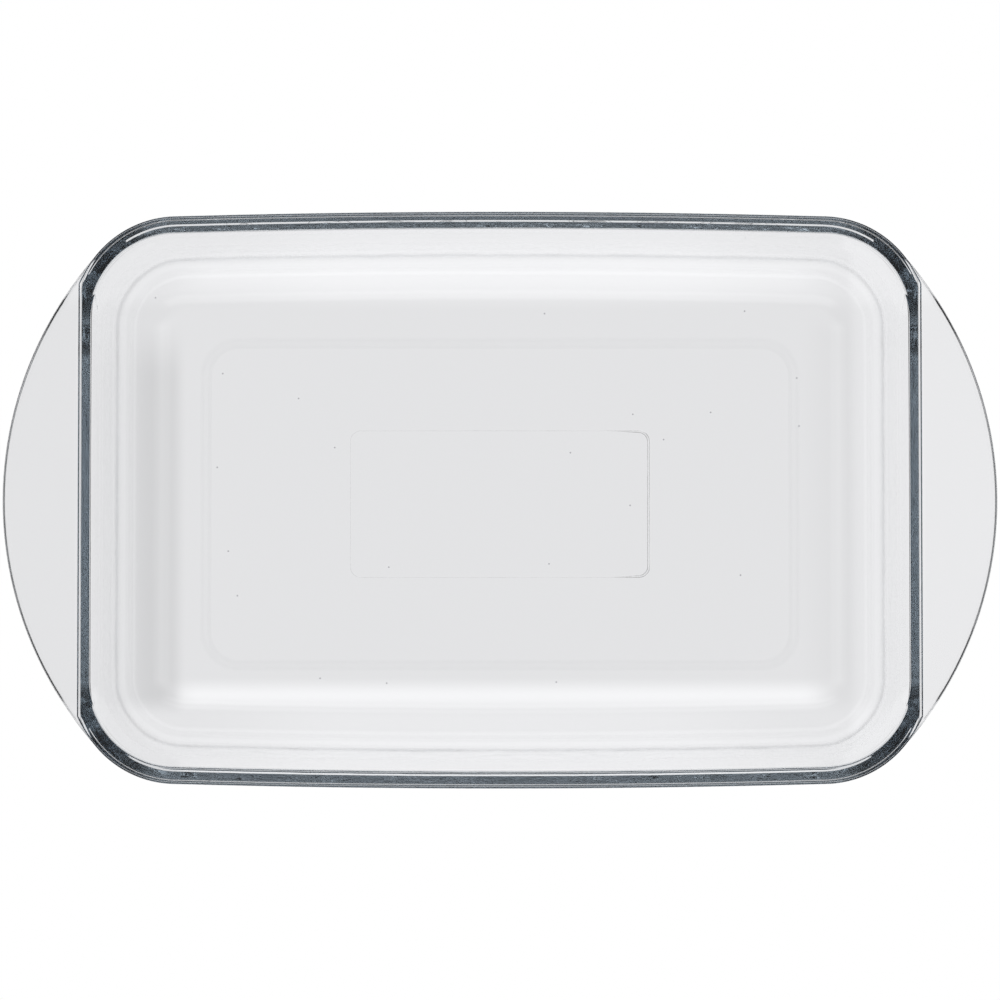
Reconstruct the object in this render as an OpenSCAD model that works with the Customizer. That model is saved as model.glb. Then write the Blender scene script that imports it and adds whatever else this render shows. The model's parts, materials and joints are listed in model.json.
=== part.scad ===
// Rectangular pressed-glass baking dish with a crescent handle at each end.
// The real dish is one pressing. Each module below is one region of it, cut off from
// the next at a flat or a round face, so that the solids meet face to face.
// X runs from handle to handle, +Y to the back, and Z = 0 is the table.

/* [Opening] */
// Length of the opening at the rim
opening_l = 288.2; // [250:0.1:340]
// Width of the opening at the rim, at mid length
opening_w = 190.4; // [160:0.1:240]
// Bow of each long side, from its ends to its middle
long_bow = 1.6; // [0.5:0.1:5]

/* [Walls] */
// Height from the table to the crest of the rim
dish_h = 58; // [45:1:75]
// Lean of the walls from upright, in degrees
wall_draft = 10; // [4:0.5:15]
// Thickness of the walls
wall_t = 4.2; // [3:0.1:5]
// Radius of the fillet between the floor and the walls, inside
floor_fillet_r = 20; // [10:0.5:26]
// Radius of the heel between the base and the walls, outside
heel_r = 22; // [12:0.5:28]

/* [Base] */
// Thickness of the floor
floor_t = 5; // [3.5:0.1:7]
// Corner radius of the flat part of the floor
floor_corner_r = 4.5; // [2:0.5:15]
// Height of the foot ring below the base
foot_h = 0.8; // [0.5:0.1:2]
// Width of the foot ring's bearing face
foot_w = 4; // [2:0.5:8]
// Distance from the edge of the flat floor in to the foot ring
foot_inset = 8; // [3:0.5:15]
// Outer corner radius of the foot ring
foot_corner_r = 14; // [9:0.5:25]
// Length of the raised frame under the base
frame_l = 110; // [60:1:140]
// Width of the raised frame under the base
frame_w = 54; // [30:1:60]
// Outer corner radius of the raised frame
frame_corner_r = 4; // [2:0.5:10]
// Width of the frame's ridge
frame_ridge_w = 0.9; // [0.5:0.1:1.8]
// Height of the frame's ridge
frame_ridge_h = 0.3; // [0.2:0.05:0.4]

/* [Rim] */
// Width of the rim along the long sides and round the corners
rim_w = 6.2; // [5.4:0.1:9]
// Rim at the ends, from the wall's outer face out to the root of the handle
root_ledge = 0.48; // [0.3:0.02:1]
// Rounding of the rim's inner edge
rim_inner_r = 1; // [0.6:0.1:2.5]
// Rounding of the rim's outer edge
rim_outer_r = 2.8; // [1:0.1:3]
// Rounding of the rim's edge above the handles
rim_step_r = 0.6; // [0.4:0.1:1.7]
// Rounding under the rim's outer edge
rim_lower_r = 1.2; // [0.5:0.1:1.5]
// Height of the slope under the rim, from its outer edge down to the wall
bevel_h = 13; // [8:0.5:18]
// What the end walls keep of that slope's thickness
end_bevel_w = 0.5; // [0.3:0.1:0.8]

/* [Handles] */
// Reach of each handle beyond the rim, at mid width
handle_reach = 26.8; // [18:0.1:40]
// Thickness of the handles
handle_t = 4.5; // [3:0.1:7]
// Drop from the crest of the rim to the top of the handles
handle_drop = 2; // [1.7:0.1:4]
// Rounding of the handles' outer edges above
handle_upper_r = 0.7; // [0.4:0.1:1]
// Rounding of the handles' outer edges below
handle_lower_r = 3.2; // [1:0.1:3.3]

/* [Hidden] */

// Steps along one side, one corner, one fillet and one small rounding
side_steps = 16;
corner_steps = 12;
fillet_steps = 12;
round_steps = 6;
// How far a cutting solid runs past what it cuts
overrun = 1;

// Levels above the table
base_z = foot_h;
floor_z = base_z + floor_t;
handle_top_z = dish_h - handle_drop;
lip_z = handle_top_z - handle_t;
wall_top_z = lip_z - bevel_h;

// A wall's two faces, as distances outward from the edge of the opening
function wall_inside(z) = -(dish_h - z) * tan(wall_draft);
function wall_outside(z) = wall_inside(z) + wall_t / cos(wall_draft);

// Centre of an arc of radius r that stands on level z and touches a wall's face,
// which lies at distance o from the edge of the opening at the height of the rim
function arc_centre(r, z, o) = [
    o - (r + (dish_h - z - r) * sin(wall_draft)) / cos(wall_draft),
    z + r
];
floor_arc_c = arc_centre(floor_fillet_r, floor_z, 0);
heel_arc_c = arc_centre(heel_r, base_z, wall_outside(dish_h));
// Distance from the edge of the opening in to the flat part of the base
base_inset = -min(floor_arc_c.x, heel_arc_c.x);

// Outer face of an end wall above the slope, and the width of the rim beside a handle
function end_outside(z) = wall_outside(z) + end_bevel_w;
end_rim_w = end_outside(lip_z) + root_ledge;

// The ends are straight. Each corner is an arc that touches an end and a long side, and
// each long side is a flat arc about an axis far across the dish.
corner_r = floor_corner_r + base_inset;
half_chord = opening_l / 2 - corner_r;
long_r = (half_chord ^ 2 + long_bow ^ 2) / (2 * long_bow);
long_axis = [0, opening_w / 2 - long_r];
corner_axis = [half_chord, long_axis.y + sqrt((long_r - corner_r) ^ 2 - half_chord ^ 2)];
long_half_angle = asin(half_chord / (long_r - corner_r));

// A handle's edge is one arc through its outermost point. It touches the outer arcs of
// both corners at the web angle, and between there and the handle the rim widens to it.
root_x = opening_l / 2 + end_rim_w;
handle_end_x = root_x + handle_reach;
handle_gap = handle_end_x - corner_axis.x;
handle_r = (handle_gap ^ 2 + corner_axis.y ^ 2 - (corner_r + rim_w) ^ 2)
    / (2 * (handle_gap - corner_r - rim_w));
handle_axis = [handle_end_x - handle_r, 0];
web_angle = atan2(corner_axis.y, corner_axis.x - handle_axis.x);

foot_l = opening_l - 2 * (base_inset + foot_inset);
foot_span_w = opening_w - 2 * (base_inset + foot_inset);

function arc_points(c, r, from, to, steps) =
    [for (i = [0:steps]) let (a = from + (to - from) * i / steps) c + r * [cos(a), sin(a)]];
function mirrored(points, sx, sy) = [for (p = points) [sx * p.x, sy * p.y]];
function reversed(points) = [for (i = [len(points) - 1:-1:0]) points[i]];

// Outline of the dish at distance o outward from the edge of the opening
function quarter_outline(o) = concat(
    arc_points(corner_axis, corner_r + o, 0, 90 - long_half_angle, corner_steps),
    arc_points(long_axis, long_r + o, 90 - long_half_angle, 90, side_steps / 2)
);
function outline(o) = let (q = quarter_outline(o)) concat(
    q,
    mirrored(reversed(q), -1, 1),
    mirrored(q, -1, -1),
    mirrored(reversed(q), 1, -1)
);

// Cross-section of a wall from the flat base up to the rim
wall_section = concat(
    [[-base_inset, base_z]],
    arc_points(heel_arc_c, heel_r, -90, -wall_draft, fillet_steps),
    [[wall_outside(wall_top_z), wall_top_z], [wall_inside(wall_top_z), wall_top_z]],
    arc_points(floor_arc_c, floor_fillet_r, -wall_draft, -90, fillet_steps),
    [[-base_inset, floor_z]]
);

// Outer edge of a plate that ends at radius r and lies between two levels
function edge_points(r, low_z, high_z, low_r, high_r) = concat(
    arc_points([r - low_r, low_z + low_r], low_r, -90, 0, round_steps),
    arc_points([r - high_r, high_z - high_r], high_r, 0, 90, round_steps)
);
rim_inner_edge = arc_points(
    [rim_inner_r * (1 - sin(wall_draft)) / cos(wall_draft), dish_h - rim_inner_r],
    rim_inner_r, 90, 180 - wall_draft, round_steps
);

// The slope under the rim runs up from the wall to the rim's outer edge, rounded there
bevel_foot = [wall_outside(wall_top_z), wall_top_z];
bevel_lean = atan2(rim_w - bevel_foot.x, bevel_h);
rim_foot = [[wall_inside(wall_top_z), wall_top_z], bevel_foot];
rim_section = concat(
    rim_foot,
    arc_points(
        [rim_w - rim_lower_r, lip_z + rim_lower_r * tan(bevel_lean / 2)],
        rim_lower_r, -bevel_lean, 0, round_steps
    ),
    arc_points([rim_w - rim_outer_r, dish_h - rim_outer_r], rim_outer_r, 0, 90, round_steps),
    rim_inner_edge
);

// At an end the slope stops where it meets the outer face of the wall
bevel_stop_z = wall_top_z + end_bevel_w / (tan(bevel_lean) - tan(wall_draft));
end_step_edge = arc_points(
    [end_rim_w - rim_step_r, dish_h - rim_step_r], rim_step_r, 0, 90, round_steps
);
end_rim_section = concat(
    rim_foot,
    [[end_outside(bevel_stop_z), bevel_stop_z], [end_outside(lip_z), lip_z], [end_rim_w, lip_z]],
    end_step_edge,
    rim_inner_edge
);

// The rim carried on past the handle's edge, from its own middle
web_section = [[rim_w / 2, lip_z], [handle_gap, lip_z], [handle_gap, dish_h], [rim_w / 2, dish_h]];

// Half cross-sections of two discs about a handle's axis, one that bounds the web and
// one that the handle is cut from
web_disc_section = concat(
    [[0, lip_z]],
    edge_points(handle_r, lip_z, dish_h, rim_lower_r, rim_outer_r),
    [[0, dish_h]]
);
handle_low_r = min(handle_lower_r, 0.9 * handle_t - handle_upper_r);
handle_disc_section = concat(
    [[0, lip_z]],
    edge_points(handle_r, lip_z, handle_top_z, handle_low_r, handle_upper_r),
    [[0, handle_top_z]]
);

// What a corner keeps on the rim's side of the end wall's outer face and the handle's root
stop_foot_z = wall_top_z - overrun;
end_stop_section = concat(
    [
        [-opening_l / 2, stop_foot_z], [end_outside(stop_foot_z), stop_foot_z],
        [end_outside(lip_z), lip_z], [end_rim_w, lip_z]
    ],
    end_step_edge,
    [[-opening_l / 2, dish_h]]
);

module glass() {
    color("lightsteelblue", 0.5) children();
}

// Places what is drawn for the back, the right or the back right corner
module facing(sx, sy) {
    mirror([sx < 0 ? 1 : 0, 0, 0]) mirror([0, sy < 0 ? 1 : 0, 0]) children();
}

// Carries a cross-section, drawn as distance outward and height, round an axis
module swept(axis, radius, from, to, steps) {
    translate(axis)
        rotate(from)
            rotate_extrude(angle = to - from, $fn = ceil(steps * 360 / (to - from)))
                translate([radius, 0])
                    children();
}

module long_side() {
    swept(long_axis, long_r, 90 - long_half_angle, 90 + long_half_angle, side_steps) children();
}

module corner_side(from = 0, to = 90 - long_half_angle) {
    swept(corner_axis, corner_r, from, to, corner_steps) children();
}

// Carries a cross-section straight along an end, between its corners
module end_side() {
    translate([opening_l / 2, 0])
        rotate([90, 0, 0])
            linear_extrude(2 * corner_axis.y, center = true)
                children();
}

module rounded_plate(l, w, r, h) {
    linear_extrude(h) {
        square([l - 2 * r, w], center = true);
        square([l, w - 2 * r], center = true);
        for (x = [-1, 1], y = [-1, 1])
            translate([x * (l / 2 - r), y * (w / 2 - r)]) circle(r, $fn = 64);
    }
}

module rounded_ring(l, w, r, ring_w, h) {
    difference() {
        rounded_plate(l, w, r, h);
        translate([0, 0, -overrun])
            rounded_plate(l - 2 * ring_w, w - 2 * ring_w, r - ring_w, h + 2 * overrun);
    }
}

module base_panel() {
    glass() {
        translate([0, 0, base_z]) linear_extrude(floor_t) polygon(outline(-base_inset));
        translate([0, 0, base_z - frame_ridge_h])
            rounded_ring(frame_l, frame_w, frame_corner_r, frame_ridge_w, frame_ridge_h);
    }
}

module foot_ring() {
    glass() rounded_ring(foot_l, foot_span_w, foot_corner_r, foot_w, foot_h);
}

module long_wall(sy) {
    glass() facing(1, sy) long_side() polygon(wall_section);
}

module end_wall(sx) {
    glass() facing(sx, 1) end_side() polygon(wall_section);
}

module corner_wall(sx, sy) {
    glass() facing(sx, sy) corner_side() polygon(wall_section);
}

module handle_disc() {
    translate(handle_axis) rotate_extrude($fn = 256) children();
}

module end_stop() {
    translate([opening_l / 2, 0])
        rotate([90, 0, 0])
            linear_extrude(opening_w + 2 * (rim_w + overrun), center = true)
                polygon(end_stop_section);
}

module long_rim(sy) {
    glass() facing(1, sy) long_side() polygon(rim_section);
}

module end_rim(sx) {
    glass() facing(sx, 1) end_side() polygon(end_rim_section);
}

// A corner of the rim, with the web that widens it to the handle's edge
module corner_rim(sx, sy) {
    glass() facing(sx, sy) {
        intersection() {
            corner_side() polygon(rim_section);
            end_stop();
        }
        intersection() {
            corner_side(to = web_angle) polygon(web_section);
            handle_disc() polygon(web_disc_section);
            end_stop();
        }
    }
}

module handle(sx) {
    glass() facing(sx, 1) difference() {
        handle_disc() polygon(handle_disc_section);
        translate([root_x - 2 * handle_r, -handle_r - overrun, lip_z - overrun])
            cube([2 * handle_r, 2 * (handle_r + overrun), handle_t + 2 * overrun]);
    }
}

base_panel();
foot_ring();
long_wall(-1);  // wall_front
long_wall(1);  // wall_back
end_wall(-1);  // wall_left
end_wall(1);  // wall_right
corner_wall(-1, -1);  // corner_front_left
corner_wall(1, -1);  // corner_front_right
corner_wall(-1, 1);  // corner_back_left
corner_wall(1, 1);  // corner_back_right
long_rim(-1);  // rim_front
long_rim(1);  // rim_back
end_rim(-1);  // rim_left
end_rim(1);  // rim_right
corner_rim(-1, -1);  // rim_corner_front_left
corner_rim(1, -1);  // rim_corner_front_right
corner_rim(-1, 1);  // rim_corner_back_left
corner_rim(1, 1);  // rim_corner_back_right
handle(-1);  // handle_left
handle(1);  // handle_right
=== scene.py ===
# %% [markdown]
# # A pressed glass baking dish
#
# A dish like this is one gob of molten glass, pressed between two moulds and polished by
# fire, so it has no seams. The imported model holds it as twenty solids, its regions, because
# a solid model is measured and tested that way. They could simply be given glass. But in
# clear glass each face between two regions would show as a line, so the same shape is made
# once more as one closed skin, and that skin stands for all twenty.

# %% Loading the frame
import json
import math
from typing import NamedTuple

import bmesh
import bpy
import numpy as np
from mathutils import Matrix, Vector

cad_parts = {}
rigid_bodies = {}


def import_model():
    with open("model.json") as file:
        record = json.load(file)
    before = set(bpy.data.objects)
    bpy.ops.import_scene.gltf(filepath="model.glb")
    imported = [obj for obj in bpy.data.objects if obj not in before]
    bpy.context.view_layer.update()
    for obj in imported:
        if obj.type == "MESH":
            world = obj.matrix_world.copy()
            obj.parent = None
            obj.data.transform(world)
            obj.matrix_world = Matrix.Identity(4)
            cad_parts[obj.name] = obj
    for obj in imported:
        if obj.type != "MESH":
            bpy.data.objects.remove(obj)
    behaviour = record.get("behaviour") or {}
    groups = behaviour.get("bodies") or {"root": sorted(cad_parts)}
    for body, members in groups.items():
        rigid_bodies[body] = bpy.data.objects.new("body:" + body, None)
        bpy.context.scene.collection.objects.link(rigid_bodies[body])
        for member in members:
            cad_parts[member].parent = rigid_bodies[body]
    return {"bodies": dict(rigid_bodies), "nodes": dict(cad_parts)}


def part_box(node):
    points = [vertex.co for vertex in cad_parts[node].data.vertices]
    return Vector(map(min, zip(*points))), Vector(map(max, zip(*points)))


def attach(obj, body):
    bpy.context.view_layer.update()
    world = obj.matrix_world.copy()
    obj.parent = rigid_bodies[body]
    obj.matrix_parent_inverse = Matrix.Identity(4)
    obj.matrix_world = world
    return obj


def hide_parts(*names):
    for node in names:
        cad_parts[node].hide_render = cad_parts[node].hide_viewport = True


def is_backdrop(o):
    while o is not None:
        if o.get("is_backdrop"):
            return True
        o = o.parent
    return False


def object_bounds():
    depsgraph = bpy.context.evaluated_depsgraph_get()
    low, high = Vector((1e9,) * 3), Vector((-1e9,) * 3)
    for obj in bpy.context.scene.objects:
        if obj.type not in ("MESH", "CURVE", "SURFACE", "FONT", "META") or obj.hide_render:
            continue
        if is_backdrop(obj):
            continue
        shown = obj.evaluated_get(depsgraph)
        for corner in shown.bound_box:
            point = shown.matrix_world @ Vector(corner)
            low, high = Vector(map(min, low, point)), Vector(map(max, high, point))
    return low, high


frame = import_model()
solid_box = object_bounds()
BODY = next(iter(frame["bodies"]))
print("body", BODY, "with", len(frame["nodes"]), "solids")

# %% [markdown]
# ## Sizes
#
# The skin has to be as large as the solids. Every size could be typed in, but then the two
# would part with the first change. So what a solid's box can tell is read off that box. It
# shows no radius and no thickness of a wall, and those few sizes are written here. Lengths
# stay in millimetres until a mesh is written, and the table is at height zero.

# %% Sizes read off the solids
MM = 0.001


def box_mm(node):
    """Lowest and highest corner of a solid, in millimetres."""
    low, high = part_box(node)
    return np.array(low) / MM, np.array(high) / MM


(root_x, _, lip_z), (handle_end_x, _, handle_top_z) = box_mm("handle_right")
_, (_, corner_y, dish_h) = box_mm("rim_right")
_, (_, half_outer_w, _) = box_mm("rim_back")
_, (_, _, wall_top_z) = box_mm("wall_back")
_, (floor_end_x, _, floor_z) = box_mm("base_panel")
_, (foot_end_x, foot_end_y, base_z) = box_mm("foot_ring")
print("crest %.1f, handle %.1f to %.1f, floor %.1f" % (dish_h, lip_z, handle_top_z, floor_z))

# %% Sizes that no box shows
# The walls, the fillet inside, the heel outside, and the plan's corners and long sides.
wall_draft = math.radians(10)
wall_t = 4.2
floor_fillet_r = 20.0
heel_r = 22.0
floor_corner_r = 4.5
long_bow = 1.6
# The rim's width, and the rounds of its edges: inside, outside, above a handle, and below
# where a handle begins.
rim_w = 6.2
rim_inner_r = 1.0
rim_outer_r = 2.8
rim_step_r = 0.6
rim_lower_r = 1.2
# At an end, what the wall keeps of the slope under the rim, and the rim beyond that.
end_bevel_w = 0.5
root_ledge = 0.48
# The rounds of a handle's edge, above and below.
handle_upper_r = 0.7
handle_lower_r = 3.2
print("wall %.1f, rim %.1f, fillet %.0f, heel %.0f" % (wall_t, rim_w, floor_fillet_r, heel_r))


# %% The wall's faces
def wall_inside(z):
    """Offset of the wall's inner face at height z.

    It is zero at the crest, and further in by the depth times the draft's tangent.
    """
    return -(dish_h - z) * math.tan(wall_draft)


def wall_outside(z):
    """Offset of the outer face: the inner one plus the thickness over the draft's cosine."""
    return wall_inside(z) + wall_t / math.cos(wall_draft)


def arc_centre(r, z, offset):
    """Offset of the centre of an arc that rests on level z and touches a wall's face.

    The face has the given offset at the crest. The centre lies further in by its radius
    plus its depth below the crest times the draft's sine, all over the cosine.
    """
    return offset - (r + (dish_h - z - r) * math.sin(wall_draft)) / math.cos(wall_draft)


heel_offset = arc_centre(heel_r, base_z, wall_outside(dish_h))
half_l = root_x - wall_outside(lip_z) - end_bevel_w - root_ledge
half_w = half_outer_w - rim_w
base_inset = half_l - floor_end_x
corner_r = floor_corner_r + base_inset
print("opening %.1f by %.1f, corner radius %.1f" % (2 * half_l, 2 * half_w, corner_r))

# %% [markdown]
# ## Walking round the dish
#
# Seen from above, an end is straight, a corner is an arc, and a long side is a very flat
# arc, so that the dish bulges a little. A curve could sweep a section along this outline,
# but here the section changes on the way. So the outline is a walk: a list of places, with
# the outward direction at each. Every row of the skin is that walk, pushed out or in by its
# own offset. The dish is alike in all four quarters, so one is worked out and mirrored.

# %% The arcs of a quarter
half_chord = half_l - corner_r
# A flat arc's radius: half its chord squared plus its bow squared, over twice its bow.
long_r = (half_chord**2 + long_bow**2) / (2 * long_bow)
# Corner and side touch on the line through both their axes, which gives the side's turn.
side_turn = math.asin(half_chord / (long_r - corner_r))
corner_turn = math.pi / 2 - side_turn
corner_axis = np.array([half_chord, corner_y])
long_axis = np.array([0, half_w - long_r])
print("the long side is an arc of %.0f mm radius" % long_r)

# %% One quarter of the walk
END_STEPS, CORNER_STEPS, SIDE_STEPS = 16, 96, 18

stretch = np.repeat(["end", "corner", "side"], [END_STEPS, CORNER_STEPS, SIDE_STEPS])
# The turn is the angle of the outward direction: nothing at an end, a right angle at the
# middle of a long side.
turn = np.concatenate([
    np.zeros(END_STEPS),
    np.linspace(0, corner_turn, CORNER_STEPS),
    np.linspace(corner_turn, math.pi / 2, SIDE_STEPS + 1)[1:],
])
quarter_outward = np.stack([np.cos(turn), np.sin(turn)], 1)
up_the_end = np.linspace(0, corner_y, END_STEPS, endpoint=False)
quarter_edge = np.concatenate([
    np.stack([np.full(END_STEPS, half_l), up_the_end], 1),
    corner_axis + corner_r * quarter_outward[stretch == "corner"],
    long_axis + long_r * quarter_outward[stretch == "side"],
])
print("places in a quarter", len(quarter_edge))


# %% The whole walk
def all_round(rows):
    """Mirrors a quarter into the whole walk, every second quarter run backwards.

    Points and directions change their signs with their quarter, and plain values don't.
    """
    quarters = []
    for sx, sy, step in ((1, 1, 1), (-1, 1, -1), (-1, -1, 1), (1, -1, -1)):
        signs = np.array([sx, sy]) if rows.ndim > 1 else 1
        quarters.append((rows[::step] * signs)[:-1])
    return np.concatenate(quarters)


edge, outward, walk_turn = all_round(quarter_edge), all_round(quarter_outward), all_round(turn)
print("places round the dish", len(edge))

# %% [markdown]
# ## Rim and handles from above
#
# The outer edge of the raised rim follows the walk, but a handle's edge is one big arc that
# touches the outer edge of both corners. The raised rim doesn't follow that arc. Near a
# handle it leaves its own round and runs straight on to the handle's root, and a thin
# sliver of the handle stays outside it. A handle could be a piece of its own, but in glass
# its joint would show, so it is only the stretch where the skin reaches further out.

# %% The handle's arc
STRAIGHT_TURN = math.radians(27.5)

# The arc goes through the handle's tip and touches the round of the corner's outer edge.
gap = handle_end_x - corner_axis[0]
handle_r = (gap**2 + corner_y**2 - (corner_r + rim_w) ** 2) / (2 * (gap - corner_r - rim_w))
handle_axis_x = handle_end_x - handle_r
print("a handle's edge is an arc of %.0f mm radius" % handle_r)


# %% How far out the raised rim and the outer edge are
def rim_and_edge():
    """Outer offset of the raised rim and of the whole dish, for one quarter of the walk.

    Up the end the edge is the handle's circle at that height. Round the corner it is where
    a line from the corner's axis meets that circle, as long as the circle is outside the
    rim. The raised rim ends at the handle's root or at the straight line off its round,
    which is as far out as the round's radius over the cosine of the turn past it.
    """
    raised = np.full(len(turn), rim_w)
    reach = raised.copy()
    end, corner = stretch == "end", stretch == "corner"
    raised[end] = root_x - half_l
    reach[end] = handle_axis_x + np.sqrt(handle_r**2 - up_the_end**2) - half_l
    between = corner_axis - [handle_axis_x, 0]
    along = quarter_outward[corner] @ between
    circle = np.sqrt(along**2 - between @ between + handle_r**2) - along - corner_r
    touching = math.atan2(between[1], between[0])
    reach[corner] = np.where(turn[corner] < touching, np.maximum(circle, rim_w), rim_w)
    root = (root_x - corner_axis[0]) / np.cos(turn[corner]) - corner_r
    past = np.minimum(turn[corner] - STRAIGHT_TURN, 0)
    raised[corner] = np.minimum(root, (corner_r + rim_w) / np.cos(past) - corner_r)
    return raised, reach


raised, reach = (all_round(part) for part in rim_and_edge())
shelf = reach - raised
print("a handle reaches %.1f past the raised rim" % shelf.max())

# %% [markdown]
# ## The section
#
# Cut across anywhere, the wall is a broken line with rounded corners: from the floor up the
# inside, over the rim, down the step to the handle and round its edge, then back under it
# and down the outside to the base. A Bevel modifier could round the corners of a plain
# skin. But each radius sends light its own way, and some of them change on the way round,
# so every arc is worked out, at all places of the walk at once. One list of corners serves
# the whole dish, because a place or a radius may be one number or one for each place.

# %% Rounding one corner
# Two lengths in millimetres and an angle in radians, below which there is nothing to round.
NEVER_ZERO = 1e-9
SHORTEST_LEG = 1e-3
LEAST_BEND = 1e-4


class Corner(NamedTuple):
    """A corner of the section: its place, its radius and how many rows its arc is cut into.

    More rows may follow on the straight leg behind the arc.
    """

    offset: object
    height: object
    radius: object = 0
    rows: int = 1
    rows_after: int = 0


def rounded_corner(corner, here, legs, leg_shares):
    """Rows of points on the arc that rounds a corner, at every place of the walk.

    The two legs enclose an angle. The arc that touches both starts at its radius over the
    tangent of half that angle along each leg, and its centre lies on the angle's middle
    line, at its radius over the sine. It uses no more of a leg than its share. Next to no
    leg or no bend means no arc, and all its rows fall together.
    """
    lengths = np.maximum(np.linalg.norm(legs, axis=-1), NEVER_ZERO)
    u, v = legs / lengths[..., None]
    half = np.arccos(np.clip((u * v).sum(-1), -1, 1)) / 2
    bends = (lengths.min(0) > SHORTEST_LEG) & (math.pi / 2 - half > LEAST_BEND)
    half = np.where(bends, half, math.pi / 4)
    room = lengths * np.array(leg_shares)[:, None]
    touch = np.where(bends, np.minimum(corner.radius / np.tan(half), room.min(0)), 0)
    r = (touch * np.tan(half))[:, None]
    middle = u + v
    middle /= np.maximum(np.linalg.norm(middle, axis=-1), NEVER_ZERO)[:, None]
    centre = here + middle * r / np.sin(half)[:, None]
    first, final = (here + leg * touch[:, None] - centre for leg in (u, v))
    start = np.arctan2(first[:, 1], first[:, 0])
    sweep = np.arctan2(final[:, 1], final[:, 0]) - start
    sweep = np.where(bends, (sweep + math.pi) % (2 * math.pi) - math.pi, 0)
    angles = [start + sweep * share for share in np.linspace(0, 1, corner.rows + 1)]
    return [centre + r * np.stack([np.cos(a), np.sin(a)], -1) for a in angles]


# %% A broken line with rounded corners
SHARED_LEG = 0.49


def rounded_line(corners):
    """The rounded section at every place of the walk, as rows of offset and height.

    A leg that two arcs share gives each a little under half its length. Rows on a straight
    leg crowd towards its ends: they lie at half of one minus the cosine of even angles.
    """
    ones = np.ones_like(raised)
    spots = [np.stack([c.offset * ones, c.height * ones], -1) for c in corners]
    last = len(corners) - 1
    rows = [spots[0]]
    for i in range(1, last):
        legs = np.stack([spots[i - 1] - spots[i], spots[i + 1] - spots[i]])
        leg_shares = (1 if i == 1 else SHARED_LEG, 1 if i == last - 1 else SHARED_LEG)
        arc = rounded_corner(corners[i], spots[i], legs, leg_shares)
        angles = np.linspace(0, math.pi, corners[i - 1].rows_after + 2)[1:-1]
        rows += [rows[-1] + (arc[0] - rows[-1]) * (1 - math.cos(a)) / 2 for a in angles]
        rows += arc
    rows.append(spots[-1])
    return np.stack(rows)


# %% [markdown]
# ## Under the rim
#
# Under the rim the outside widens on a steep slope up to the rim's outer edge. That slope
# is what makes a glass rim dark from above: light that enters the crest strikes it so
# flatly that it can't get out, and runs down inside the wall instead. Where the parts of
# the mould meet, they leave two fine ledges on the slope. A ledge leans more, enough to
# turn light out into the dish, so it draws a bright line along the rim. A bump could stand
# for them, but real faces are in the mesh too, and so in every picture made of it.
#
# At an end the handle takes the slope's place, and there the outside is the flat face of
# the end wall. Round a corner the section keeps whichever of the two lies further in,
# blended where they cross. Towards an end the ledges sink back into the slope.

# %% The slope
BLEND_W = 0.5
# The end wall's plane runs off to infinity along a long side, so its cosine is held here.
LEAST_COSINE = 0.05

slope_foot = wall_outside(wall_top_z)
slope_rate = (rim_w - slope_foot) / (lip_z - wall_top_z)


def under_rim(offset):
    """Place on the outside below the lip, given where the slope alone would lie.

    The height rises evenly along the slope. The end wall's outer face is a plane, so at a
    corner its offset grows as one over the cosine of the turn. The lesser of slope and
    plane counts, and within the blend width of each other both give way a little.
    """
    z = wall_top_z + (offset - slope_foot) / slope_rate
    cosine = np.maximum(np.cos(walk_turn), LEAST_COSINE)
    plane = (corner_r + wall_outside(z) + end_bevel_w) / cosine - corner_r
    share = np.clip(0.5 + (plane - offset) / (2 * BLEND_W), 0, 1)
    return plane + (offset - plane) * share - BLEND_W * share * (1 - share), z


print("the slope leans %.1f degrees" % math.degrees(math.atan(slope_rate)))

# %% The two ledges
LEDGE_R = 0.5


class Ledge(NamedTuple):
    """A ledge: its offset along the back and along the front, its width and its lean."""

    back: float
    front: float
    width: float
    lean: float


upper_ledge = Ledge(5.35, 5.1, 0.22, math.radians(38))
lower_ledge = Ledge(3.8, 2.05, 0.55, math.radians(30))


def ledge_corners(ledge, strength):
    """The upper and lower corner of a ledge that leans more than the slope it is on.

    As its strength goes from one to zero, its lean goes back to the slope's. Its height is
    its width over the tangent of its lean, and it stays centred on the slope.
    """
    at, slope_lean = np.where(outward[:, 1] > 0, ledge.back, ledge.front), math.atan(slope_rate)
    lean = slope_lean + (ledge.lean - slope_lean) * strength
    shift = (ledge.width / np.tan(lean) - ledge.width / slope_rate) / 2
    corners = []
    for side in (1, -1):
        offset, z = under_rim(at + side * ledge.width / 2)
        corners.append(Corner(offset, z + side * shift, LEDGE_R, rows=3))
    return corners


print("ledges %.2f and %.2f mm wide" % (upper_ledge.width, lower_ledge.width))


# %% What changes on the way round
def smooth(low, high, x):
    """0 below low and 1 above high, eased between them.

    It is three times the square of the share of the way, less twice its cube.
    """
    t = np.clip((x - low) / (high - low), 0, 1)
    return t * t * (3 - 2 * t)


def by_turn(low, high):
    """0 below one turn of the walk and 1 above another, both in degrees."""
    return smooth(math.radians(low), math.radians(high), walk_turn)


HANDLE_ROOT_R = 0.6

# The rim's outer edge gets sharper beside a handle.
step_r = rim_step_r + (rim_outer_r - rim_step_r) * by_turn(30, 60)
# Where the handle thins out to nothing, the rounds of its root and of its upper edge share
# what is left of its width. Its lower edge gets rounder from 3 to 10 mm of width.
root_r = np.minimum(HANDLE_ROOT_R, 0.45 * shelf)
upper_r = np.minimum(handle_upper_r, 0.4 * shelf)
lower_r = rim_lower_r + (handle_lower_r - rim_lower_r) * smooth(3, 10, shelf)
# The upper ledge goes on almost to the handle, and the lower one belongs to the long sides.
upper_strength = by_turn(26, 40)
lower_strength = by_turn(45, 70)
print("the rim's edge is rounded by %.1f to %.1f" % (step_r.min(), step_r.max()))

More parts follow.
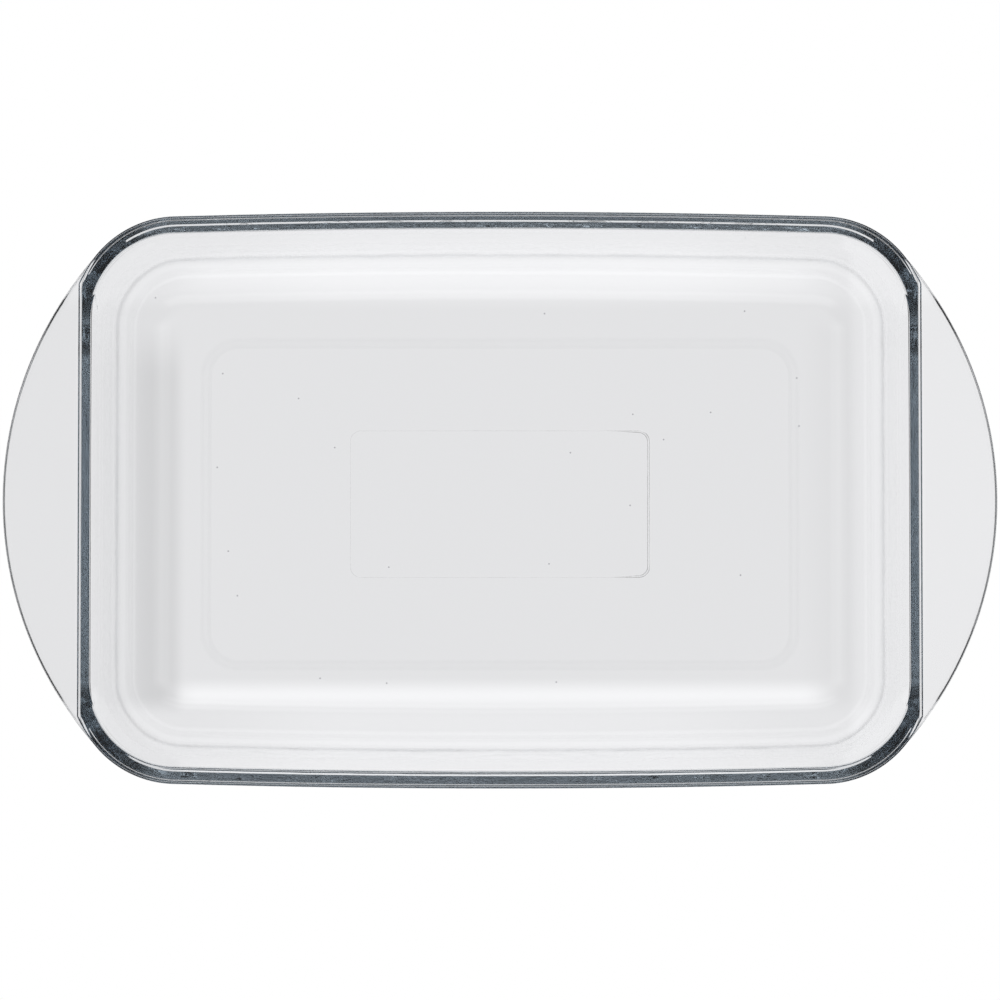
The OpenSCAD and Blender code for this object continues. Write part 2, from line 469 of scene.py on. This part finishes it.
# %% The section all round
UNDER_HANDLE_R, BEND_R, SLOPE_FOOT_R = 0.9, 8, 30
# Two more corners of the slope, which bend only where the end wall's plane cuts it.
BETWEEN_LEDGES, BELOW_LEDGES = 4.6, 1.5

# Where there is no handle, the corners of its root, its edge and its underside fall on the
# rim's own outer face, and the rim's lower edge is sharp.
section = rounded_line([
    Corner(-base_inset, floor_z),
    Corner(wall_inside(floor_z), floor_z, floor_fillet_r, rows=32, rows_after=12),
    Corner(0, dish_h, rim_inner_r, rows=12, rows_after=4),
    Corner(raised, dish_h, step_r, rows=10),
    Corner(raised, handle_top_z, root_r, rows=5, rows_after=6),
    Corner(reach, handle_top_z, upper_r, rows=8),
    Corner(reach, lip_z, lower_r, rows=16, rows_after=4),
    Corner(*under_rim(rim_w), UNDER_HANDLE_R, rows=6, rows_after=1),
    *ledge_corners(upper_ledge, upper_strength),
    Corner(*under_rim(BETWEEN_LEDGES), BEND_R, rows=3, rows_after=1),
    *ledge_corners(lower_ledge, lower_strength),
    Corner(*under_rim(BELOW_LEDGES), BEND_R, rows=3, rows_after=1),
    Corner(*under_rim(slope_foot), SLOPE_FOOT_R, rows=10, rows_after=8),
    Corner(wall_outside(base_z), base_z, heel_r, rows=32),
    Corner(heel_offset, base_z),
])
print("rows in the section", len(section))

# %% [markdown]
# ## The skin
#
# Section and walk together are a grid: row by row along the section, place by place round
# the dish. It could be modelled by hand from a box with loop cuts and bevels, but then no
# size could be read off the solids. Both ends of the section are carried in to the middle
# of the floor and of the base, which closes the skin. Where two corners of the section fall
# together, as they do wherever there is no handle, the rows do too, and merging doubled
# points removes them.

# %% Faces of a grid
def grid_faces(rows, places, capped):
    """Four-sided faces between neighbours, in rows that each run right round.

    A capped grid has two open ends. Any other joins its last row to its first.
    """
    row, place = np.meshgrid(np.arange(rows - capped), np.arange(places), indexing="ij")
    below, beside = (row + 1) % rows, (place + 1) % places
    corners = [row * places + place, below * places + place,
               below * places + beside, row * places + beside]
    return np.stack(corners, -1).reshape(-1, 4).tolist()


def cap_faces(rows, places):
    """Triangles that close both ends, each round a point that is added behind the grid."""
    place = np.arange(places)
    beside, last, middle = (place + 1) % places, (rows - 1) * places, rows * places
    first_cap = np.stack([np.full(places, middle), place, beside], 1)
    last_cap = np.stack([np.full(places, middle + 1), last + beside, last + place], 1)
    return first_cap.tolist() + last_cap.tolist()


# %% Meshes from grids
# In metres, like the mesh.
MERGE_DISTANCE = 2e-7


def glass_piece(name, grid, capped):
    """A closed smooth mesh from rows of points that each run right round the dish.

    A capped piece ends in one point at each end, the mean of its first or last row.
    """
    rows, places = grid.shape[:2]
    points, faces = grid.reshape(-1, 3), grid_faces(rows, places, capped)
    if capped:
        points = np.concatenate([points, grid[[0, -1]].mean(1)])
        faces += cap_faces(rows, places)
    mesh = bpy.data.meshes.new(name)
    mesh.from_pydata((points * MM).tolist(), [], faces)
    work = bmesh.new()
    work.from_mesh(mesh)
    bmesh.ops.remove_doubles(work, verts=work.verts, dist=MERGE_DISTANCE)
    volume = work.calc_volume(signed=True) / MM**3
    open_edges = sum(not e.is_manifold for e in work.edges)
    work.to_mesh(mesh)
    work.free()
    mesh.polygons.foreach_set("use_smooth", np.ones(len(mesh.polygons), bool))
    piece = bpy.data.objects.new(name, mesh)
    bpy.context.collection.objects.link(piece)
    print("%s: %d faces, %.0f mm3, %d open edges" % (name, len(mesh.polygons), volume, open_edges))
    return piece


# %% The dish
CAP_SHARES = np.array([0.25, 0.5, 0.75, 0.93])


def level_ring(plan, z):
    """Points of a plan at height z."""
    return np.concatenate([plan, (z * np.ones(len(plan)))[:, None]], 1)


wall_plan = edge + section[..., :1] * outward
wall_grid = np.concatenate([wall_plan, section[..., 1:]], -1)
floor_rings = [level_ring(wall_plan[0] * share, floor_z) for share in CAP_SHARES]
base_rings = [level_ring(wall_plan[-1] * share, base_z) for share in CAP_SHARES[::-1]]
dish = glass_piece("glass_dish", np.concatenate([floor_rings, wall_grid, base_rings]), True)

# %% [markdown]
# ## Under the base
#
# The dish stands on a low ring, and inside it the mould leaves a plain frame as fine as a
# scratch. Both could be rows of the skin. But light that runs inside the base would leak
# out at them, so they are closed bands of their own, a hair's breadth below the flat base.
# The frame is pressed fully only at its right end, and the rest of it is faint.

# %% A band under the base
HAIR = 0.02


def rounded_rectangle(length, width, r):
    """The walk drawn as a rounded rectangle, place by place.

    An end's and a side's places are scaled to the rectangle's straight stretches, and a
    corner's turn is scaled to a right angle.
    """
    end, corner, side = (stretch == part for part in ("end", "corner", "side"))
    plan = np.empty_like(quarter_edge)
    a = turn[corner] / corner_turn * math.pi / 2
    up = up_the_end / corner_y * (width / 2 - r)
    plan[end] = np.stack([np.full(END_STEPS, length / 2), up], 1)
    plan[corner] = [length / 2 - r, width / 2 - r] + r * np.stack([np.cos(a), np.sin(a)], 1)
    along = quarter_edge[side, 0] / corner_axis[0] * (length / 2 - r)
    plan[side] = np.stack([along, np.full(SIDE_STEPS, width / 2)], 1)
    return all_round(plan)


def band(name, length, width, r, profile, strength=1):
    """A closed band that runs round a rounded rectangle.

    The profile gives, from the outer edge over the lowest place to the inner edge, how far
    in and how far down each row lies. The strength is the share of both that is left at
    every place.
    """
    outline = rounded_rectangle(length, width, r)
    rows = []
    for inset, drop in profile:
        inner = rounded_rectangle(length - 2 * inset, width - 2 * inset, r - inset)
        plan = outline + (inner - outline) * (strength * np.ones(len(inner)))[:, None]
        rows.append(level_ring(plan, base_z - HAIR - drop * strength))
    return glass_piece(name, np.stack(rows), False)


# %% The foot ring
FOOT_W, FOOT_CORNER_R = 4.0, 14.0
FOOT_ROUND, ROUND_ROWS = 0.25, 5

# Its lower edges are quarter arcs: the outer one is drawn, and the inner one mirrors it.
foot_drop = base_z - HAIR
outer_edge = [
    (FOOT_ROUND * (1 - math.cos(a)), foot_drop - FOOT_ROUND * (1 - math.sin(a)))
    for a in np.radians(np.linspace(0, 90, ROUND_ROWS))
]
inner_edge = [(FOOT_W - inset, drop) for inset, drop in reversed(outer_edge)]
foot_profile = [(0, 0), *outer_edge, *inner_edge, (FOOT_W, 0)]
foot = band("glass_foot_ring", 2 * foot_end_x, 2 * foot_end_y, FOOT_CORNER_R, foot_profile)

# %% The frame
FRAME_L, FRAME_W, FRAME_CORNER_R = 110.0, 54.0, 4.0
RIDGE_W, RIDGE_H, RIDGE_ROWS = 0.9, 0.22, 7
FAINT, SWELLS = 0.12, (40, 54)

# The ridge is half a sine wave across, and swells to its full size towards its right end.
across = np.linspace(0, 1, RIDGE_ROWS)
ridge_profile = np.stack([RIDGE_W * across, RIDGE_H * np.sin(math.pi * across)], 1)
frame_x = rounded_rectangle(FRAME_L, FRAME_W, FRAME_CORNER_R)[:, 0]
frame_strength = FAINT + (1 - FAINT) * smooth(*SWELLS, frame_x)
frame_band = band("glass_frame", FRAME_L, FRAME_W, FRAME_CORNER_R, ridge_profile, frame_strength)

# %% [markdown]
# ## Writing nodes as expressions
#
# A material is a graph of nodes. Added and linked one by one, the nodes of a sum take a
# line each, and the sum gets lost among them. So an output is wrapped in a small class:
# arithmetic on it adds the Math nodes, and one method adds any other node.

# %% An output that does arithmetic
class Value:
    """An output of a node, which adds, subtracts and multiplies like a number."""

    def __init__(self, nodes, socket):
        self.nodes, self.socket = nodes, socket

    def math(self, operation, *values):
        """A Math node with that operation, and the values in the order of its sockets."""
        return self.nodes.node("ShaderNodeMath", {"operation": operation}, values)

    def __add__(self, other):
        return self.math("ADD", self, other)

    def __sub__(self, other):
        return self.math("SUBTRACT", self, other)

    def __rsub__(self, other):
        return self.math("SUBTRACT", other, self)

    def __mul__(self, other):
        return self.math("MULTIPLY", self, other)

    def __abs__(self):
        return self.math("ABSOLUTE", self)

    __radd__ = __add__
    __rmul__ = __mul__


# %% A tree of nodes
class Nodes:
    """The emptied node tree of a material or a world."""

    def __init__(self, owner):
        owner.use_nodes = True
        self.tree = owner.node_tree
        self.tree.nodes.clear()

    def node(self, kind, settings=None, inputs=None, output=0):
        """Adds a node: first its settings, then its sockets' values or links.

        Sockets are given by name, or in their own order as a plain list.
        """
        made = self.tree.nodes.new(kind)
        for name, setting in (settings or {}).items():
            setattr(made, name, setting)
        inputs = inputs or {}
        pairs = inputs.items() if isinstance(inputs, dict) else enumerate(inputs)
        for name, value in pairs:
            if isinstance(value, Value):
                self.tree.links.new(value.socket, made.inputs[name])
            else:
                made.inputs[name].default_value = value
        return Value(self, made.outputs[output]) if made.outputs else made

    def ease(self, value, low, high, start=0.0, end=1.0):
        """From start to end as the value goes from low to high, eased at both ends."""
        limits = {"From Min": low, "From Max": high, "To Min": start, "To Max": end}
        smooth_step = {"interpolation_type": "SMOOTHSTEP"}
        return self.node("ShaderNodeMapRange", smooth_step, {"Value": value, **limits})

    def hill(self, value, top, reach):
        """1 where the value is at the top, eased to 0 at that reach on both sides."""
        return self.ease(abs(value - top), 0.0, reach, 1.0, 0.0)


# %% [markdown]
# ## Glass
#
# Clear glass has no colour on its surface. All that it does is bend light, mirror a little
# of it, and take some away along the path. A tint on the surface would colour thin and
# thick glass alike. Real glass shows its cast only where light runs far inside it, as it
# does in the rim, so the colour belongs to the volume. Pressed glass isn't quite even: it
# keeps slow waves from the mould, which could be modelled but are too low to change the
# outline, so a bump gives them. A few dark specks lie on the floor's upper face.

# %% The look of the glass
# Lengths in a shader are in metres.
GLASS_IOR = 1.47
CAST, CAST_DENSITY = (0.433, 0.525, 0.60, 1), 6.0
WAVE_SCALE, WAVE_DEPTH = 55.0, 0.00012
SPECK_R, SPECK_CORE, SPECK_SPACING = 0.0004, 0.4, 0.03
SPECK_CHANCE = (0.5, 0.52)
SPECKS_FROM, SPECKS_TO = (0.004, 0.0045), (0.006, 0.0065)
CLEAR, SPECK_TONE = (1, 1, 1, 1), (0.25, 0.25, 0.27, 1)


def specks(nodes, place):
    """1 in a speck and 0 elsewhere, on the floor's upper face alone.

    Each cell of a sparse pattern, the same at all heights, has one speck at its point. By
    the cell's own random colour about half of them are dropped.
    """
    pattern = {"Vector": place, "Scale": 1 / SPECK_SPACING}
    distance = nodes.node("ShaderNodeTexVoronoi", {"voronoi_dimensions": "2D"}, pattern, "Distance")
    cell = nodes.node("ShaderNodeTexVoronoi", {"voronoi_dimensions": "2D"}, pattern, "Color")
    chance = nodes.node("ShaderNodeSeparateXYZ", {}, [cell])
    z = nodes.node("ShaderNodeSeparateXYZ", {}, [place], "Z")
    size = SPECK_R / SPECK_SPACING
    on_floor = nodes.ease(z, *SPECKS_FROM) * nodes.ease(z, *SPECKS_TO, 1.0, 0.0)
    near = nodes.ease(distance, SPECK_CORE * size, size, 1.0, 0.0)
    return near * nodes.ease(chance, *SPECK_CHANCE) * on_floor


print("waves of %.2f mm, specks of %.1f mm" % (WAVE_DEPTH / MM, 2 * SPECK_R / MM))


# %% The glass
def clear_glass():
    """Smooth glass with slow waves and specks, whose volume takes more red than blue."""
    material = bpy.data.materials.new("clear_glass")
    nodes = Nodes(material)
    place = nodes.node("ShaderNodeTexCoord", output="Object")
    noise = {"Vector": place, "Scale": WAVE_SCALE, "Detail": 2.0}
    waves = nodes.node("ShaderNodeTexNoise", {}, noise)
    bumpy = nodes.node("ShaderNodeBump", {}, {"Distance": WAVE_DEPTH, "Height": waves})
    # A Mix node has sockets for numbers, vectors and colours, so they go by their places:
    # 0 is the share, 6 and 7 are the two colours, and output 2 is the colour mixed.
    mix = {0: specks(nodes, place), 6: CLEAR, 7: SPECK_TONE}
    surface = nodes.node("ShaderNodeBsdfPrincipled", {}, {
        "Base Color": nodes.node("ShaderNodeMix", {"data_type": "RGBA"}, mix, 2),
        "Roughness": 0.0,
        "IOR": GLASS_IOR,
        "Transmission Weight": 1.0,
        "Normal": bumpy,
    })
    cast = {"Color": CAST, "Density": CAST_DENSITY}
    inside = nodes.node("ShaderNodeVolumeAbsorption", {}, cast)
    nodes.node("ShaderNodeOutputMaterial", {}, {"Surface": surface, "Volume": inside})
    return material


glass = clear_glass()
for piece in (dish, foot, frame_band):
    piece.data.materials.append(glass)
    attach(piece, BODY)
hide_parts(*frame["nodes"])
print("nodes in the glass", len(glass.node_tree.nodes))

# %% [markdown]
# ## How the picture is worked out
#
# Inside a glass rim light is mirrored dozens of times before it gets out. The usual few
# bounces would end it there and leave black patches, so many more are allowed. The view
# transform is Standard, which shows each colour about as it is written.

# %% Bounces and colours
BOUNCES = 96

scene = bpy.context.scene
scene.view_settings.view_transform = "Standard"
scene.cycles.max_bounces = BOUNCES
scene.cycles.transmission_bounces = BOUNCES
scene.cycles.glossy_bounces = BOUNCES
print("bounces", scene.cycles.max_bounces)

# %% [markdown]
# ## The lit table
#
# Glass has hardly any colour to show, so it is photographed against a bright field. Through
# flat glass the eye sees the field. Where an edge bends the view far enough, it sees dark
# surroundings, and that draws the outline. Lamps over a white table would do it too, but
# the light and shade that the dish casts on the table take very long to work out. So the
# table shines by itself, with that light and shade painted into it. It is bright below the
# dish and dark beyond, but seen at a low angle it is bright everywhere, as a pale table is
# towards its horizon, and so the glass stays clear from the side. The camera itself sees
# plain white.

# %% The table's light
PANEL_R, PANEL_FADE_R = 0.185, 0.21
PANEL_LIGHT, OUTSIDE_LIGHT, HORIZON_LIGHT = 0.80, 0.02, 0.75
WHITE, COOL_WHITE = (1, 1, 1, 1), (0.987, 0.987, 1.0, 1)
# How low a ray comes in: 0 is straight down and 1 is along the table. The panel ends over
# the first stretch, and the bright horizon begins over the second.
PANEL_ENDS, HORIZON_BEGINS = (0.4, 0.7), (0.68, 0.76)
print("panel of %.0f mm radius" % (PANEL_R / MM))

# %% What the dish does to it
# The dish's light and shade on the table are painted, in patches with soft edges. A pair in
# metres is where such an edge begins and ends, or the place and the reach of a line.
WALL_LIGHT, WALLS_BEGIN = 0.10, (0.071, 0.080)
WALL_END_SHARE, WALLS_WEAKEN = 0.5, (0.055, 0.120)
FRONT_GLOW, FRONT_LINE, FRONT_ENDS = 0.17, (-0.0705, 0.0075), (0.110, 0.126)
BACK_GLOW, BACK_LINE, BACK_ENDS = 0.09, (0.0855, 0.012), (0.105, 0.130)
LEFT_SHADE, LEFT_BEGINS, LEFT_ENDS = 0.11, (-0.146, -0.128), (-0.121, -0.115)
LEFT_FRONT, LEFT_BACK = (-0.080, -0.070), (0.045, 0.068)
RIGHT_SHADE, RIGHT_LINE, RIGHT_ENDS = 0.03, (0.1225, 0.014), (0.060, 0.075)
RIGHT_LIGHT, RIGHT_WALL_BEGINS = 0.055, (0.128, 0.134)


def under_the_dish(nodes, place):
    """The panel's light plus what the dish adds to it, less what it takes away.

    The light and shade that the dish casts here are painted: the table is brighter beside the
    walls, with a painted line of gathered light along each long one, and a painted soft shade
    inside each end. Each patch is its strength times an ease or a hill along X and another
    along Y.
    """
    x, y = (nodes.node("ShaderNodeSeparateXYZ", {}, [place], axis) for axis in "XY")
    far_x, far_y = abs(x), abs(y)
    # Painted light beside the walls and along the gathered lines, and painted shade at the ends.
    walls = nodes.ease(far_y, *WALLS_BEGIN, 0.0, WALL_LIGHT)
    walls *= nodes.ease(far_x, *WALLS_WEAKEN, 1.0, WALL_END_SHARE)
    front_glow = nodes.hill(y, *FRONT_LINE) * nodes.ease(far_x, *FRONT_ENDS, FRONT_GLOW, 0.0)
    back_glow = nodes.hill(y, *BACK_LINE) * nodes.ease(far_x, *BACK_ENDS, BACK_GLOW, 0.0)
    left_shade = nodes.ease(x, *LEFT_BEGINS) * nodes.ease(x, *LEFT_ENDS, LEFT_SHADE, 0.0)
    left_shade *= nodes.ease(y, *LEFT_FRONT) * nodes.ease(y, *LEFT_BACK, 1.0, 0.0)
    right_shade = nodes.hill(x, *RIGHT_LINE) * nodes.ease(far_y, *RIGHT_ENDS, RIGHT_SHADE, 0.0)
    right_wall = nodes.ease(x, *RIGHT_WALL_BEGINS, 0.0, RIGHT_LIGHT)
    return PANEL_LIGHT + walls + front_glow + back_glow + right_wall - left_shade - right_shade


# %% The table
def lit_table():
    """White for the camera. Any other ray gets the far table plus the panel's pattern."""
    material = bpy.data.materials.new("lit_table")
    nodes = Nodes(material)
    place = nodes.node("ShaderNodeTexCoord", output="Object")
    distance = nodes.node("ShaderNodeVectorMath", {"operation": "LENGTH"}, [place], "Value")
    lowness = nodes.node("ShaderNodeLayerWeight", {}, {"Blend": 0.5}, "Facing")
    panel = nodes.ease(distance, PANEL_R, PANEL_FADE_R, 1.0, 0.0)
    from_above = nodes.ease(lowness, *PANEL_ENDS, 1.0, 0.0)
    far_off = nodes.ease(lowness, *HORIZON_BEGINS, OUTSIDE_LIGHT, HORIZON_LIGHT)
    lit = far_off + under_the_dish(nodes, place) * panel * from_above
    from_camera = nodes.node("ShaderNodeLightPath", output="Is Camera Ray")
    strength = from_camera + (1 - from_camera) * lit
    mix = {0: from_camera, 6: COOL_WHITE, 7: WHITE}
    tint = nodes.node("ShaderNodeMix", {"data_type": "RGBA"}, mix, 2)
    light = nodes.node("ShaderNodeEmission", {}, {"Color": tint, "Strength": strength})
    nodes.node("ShaderNodeOutputMaterial", {}, {"Surface": light})
    return material


TABLE_REACH = 1.5
table_corners = [
    (x * TABLE_REACH, y * TABLE_REACH, 0)
    for x, y in ((-1, -1), (1, -1), (1, 1), (-1, 1))
]
table_mesh = bpy.data.meshes.new("table")
table_mesh.from_pydata(table_corners, [], [(0, 1, 2, 3)])
table_mesh.materials.append(lit_table())
table = bpy.data.objects.new("table", table_mesh)
bpy.context.collection.objects.link(table)
table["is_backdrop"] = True
print("table %.0f m wide" % (2 * TABLE_REACH))

# %% [markdown]
# ## The room
#
# What the rim and the fillets mirror is the room overhead. Area lamps could hang there, but
# a sky is worked out from a ray's direction alone, which is quicker and less noisy in
# glass. Its horizon is bright, like the table's. Above that the room is dim, with two long
# soft lights that run from left to right, a brighter disc straight overhead, and a patch
# of light to the left and right of it. The camera sees plain white.

# %% The sky
ZENITH, LOW_SKY = 0.4, 0.02
ZENITH_BEGINS, HORIZON_ENDS = (0.9, 0.99), (0.0, 0.12)
# A long light's tilt and reach in degrees, and its strength.
STRIPS = ((-34, 9, 1.1), (27, 7, 0.8))
STRIPS_END = (0.3, 0.55)
# The patches' tilt and reach are in radians.
PATCH_LIGHT, PATCH_TILT, PATCH_REACH = 0.7, 0.03, 0.25
PATCHES_BEGIN, PATCHES_END = (0.12, 0.3), (0.5, 0.65)


def studio():
    """A bright horizon, a dim sky and the soft lights that hang in it.

    Each light is a hill over the tilt, the angle from straight up towards the back, times
    an ease over how far a direction points sideways.
    """
    world = bpy.data.worlds.new("studio")
    nodes = Nodes(world)
    direction = nodes.node("ShaderNodeTexCoord", output="Generated")
    x, y, z = (nodes.node("ShaderNodeSeparateXYZ", {}, [direction], axis) for axis in "XYZ")
    tilt, sideways = y.math("ARCTAN2", y, z), abs(x)
    strips = sum(nodes.hill(tilt, math.radians(at), math.radians(spread)) * light
                 for at, spread, light in STRIPS)
    patches = nodes.hill(tilt, PATCH_TILT, PATCH_REACH) * nodes.ease(sideways, *PATCHES_BEGIN)
    patches = patches * nodes.ease(sideways, *PATCHES_END, 1.0, 0.0) * PATCH_LIGHT
    horizon = nodes.ease(z, *HORIZON_ENDS, HORIZON_LIGHT, 0.0)
    sky = nodes.ease(z, *ZENITH_BEGINS, LOW_SKY, ZENITH) + horizon
    room = sky + nodes.ease(sideways, *STRIPS_END, 1.0, 0.0) * strips + patches
    from_camera = nodes.node("ShaderNodeLightPath", output="Is Camera Ray")
    strength = from_camera + (1 - from_camera) * room
    light = nodes.node("ShaderNodeBackground", {}, {"Color": WHITE, "Strength": strength})
    nodes.node("ShaderNodeOutputWorld", {}, {"Surface": light})
    return world


scene.world = studio()
print("strip lights", len(STRIPS))

# %% [markdown]
# ## The camera
#
# The photograph looks down from well above and a touch in front, with the back of the dish
# at the top of the picture. A constraint could aim the camera, but it looks along its own
# minus Z already, so a small turn about X is all it needs. Its lens follows from how many
# millimetres one pixel of the picture covers at the height of the rim.

# %% The camera
CAMERA_HEIGHT, CAMERA_FRONT, AIM_FRONT = 1.2, 0.037, 0.00023
MM_PER_PIXEL, PICTURE_PIXELS, SENSOR_W = 0.35105, 1000, 36

camera = bpy.data.objects.new("camera", bpy.data.cameras.new("camera"))
bpy.context.collection.objects.link(camera)
scene.camera = camera
camera.location = (0, -CAMERA_FRONT - AIM_FRONT, dish_h * MM + CAMERA_HEIGHT)
camera.rotation_euler = (math.atan2(CAMERA_FRONT, CAMERA_HEIGHT), 0, 0)
camera.data.sensor_width = SENSOR_W
distance_mm = math.hypot(CAMERA_FRONT, CAMERA_HEIGHT) / MM
camera.data.lens = camera.data.sensor_width * distance_mm / (PICTURE_PIXELS * MM_PER_PIXEL)
print("lens %.1f mm" % camera.data.lens)

# %% [markdown]
# ## Sizes and finish
#
# The looks mustn't change the dish's size. So the box of the solids, kept from the start,
# and the box of what shows now are printed side by side.

# %% Sizes and finish
bpy.context.view_layer.update()
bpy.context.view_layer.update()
for shown, (low, high) in (("solids", solid_box), ("skin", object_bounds())):
    print(shown, "%.1f by %.1f by %.1f mm" % tuple((high - low) / MM))
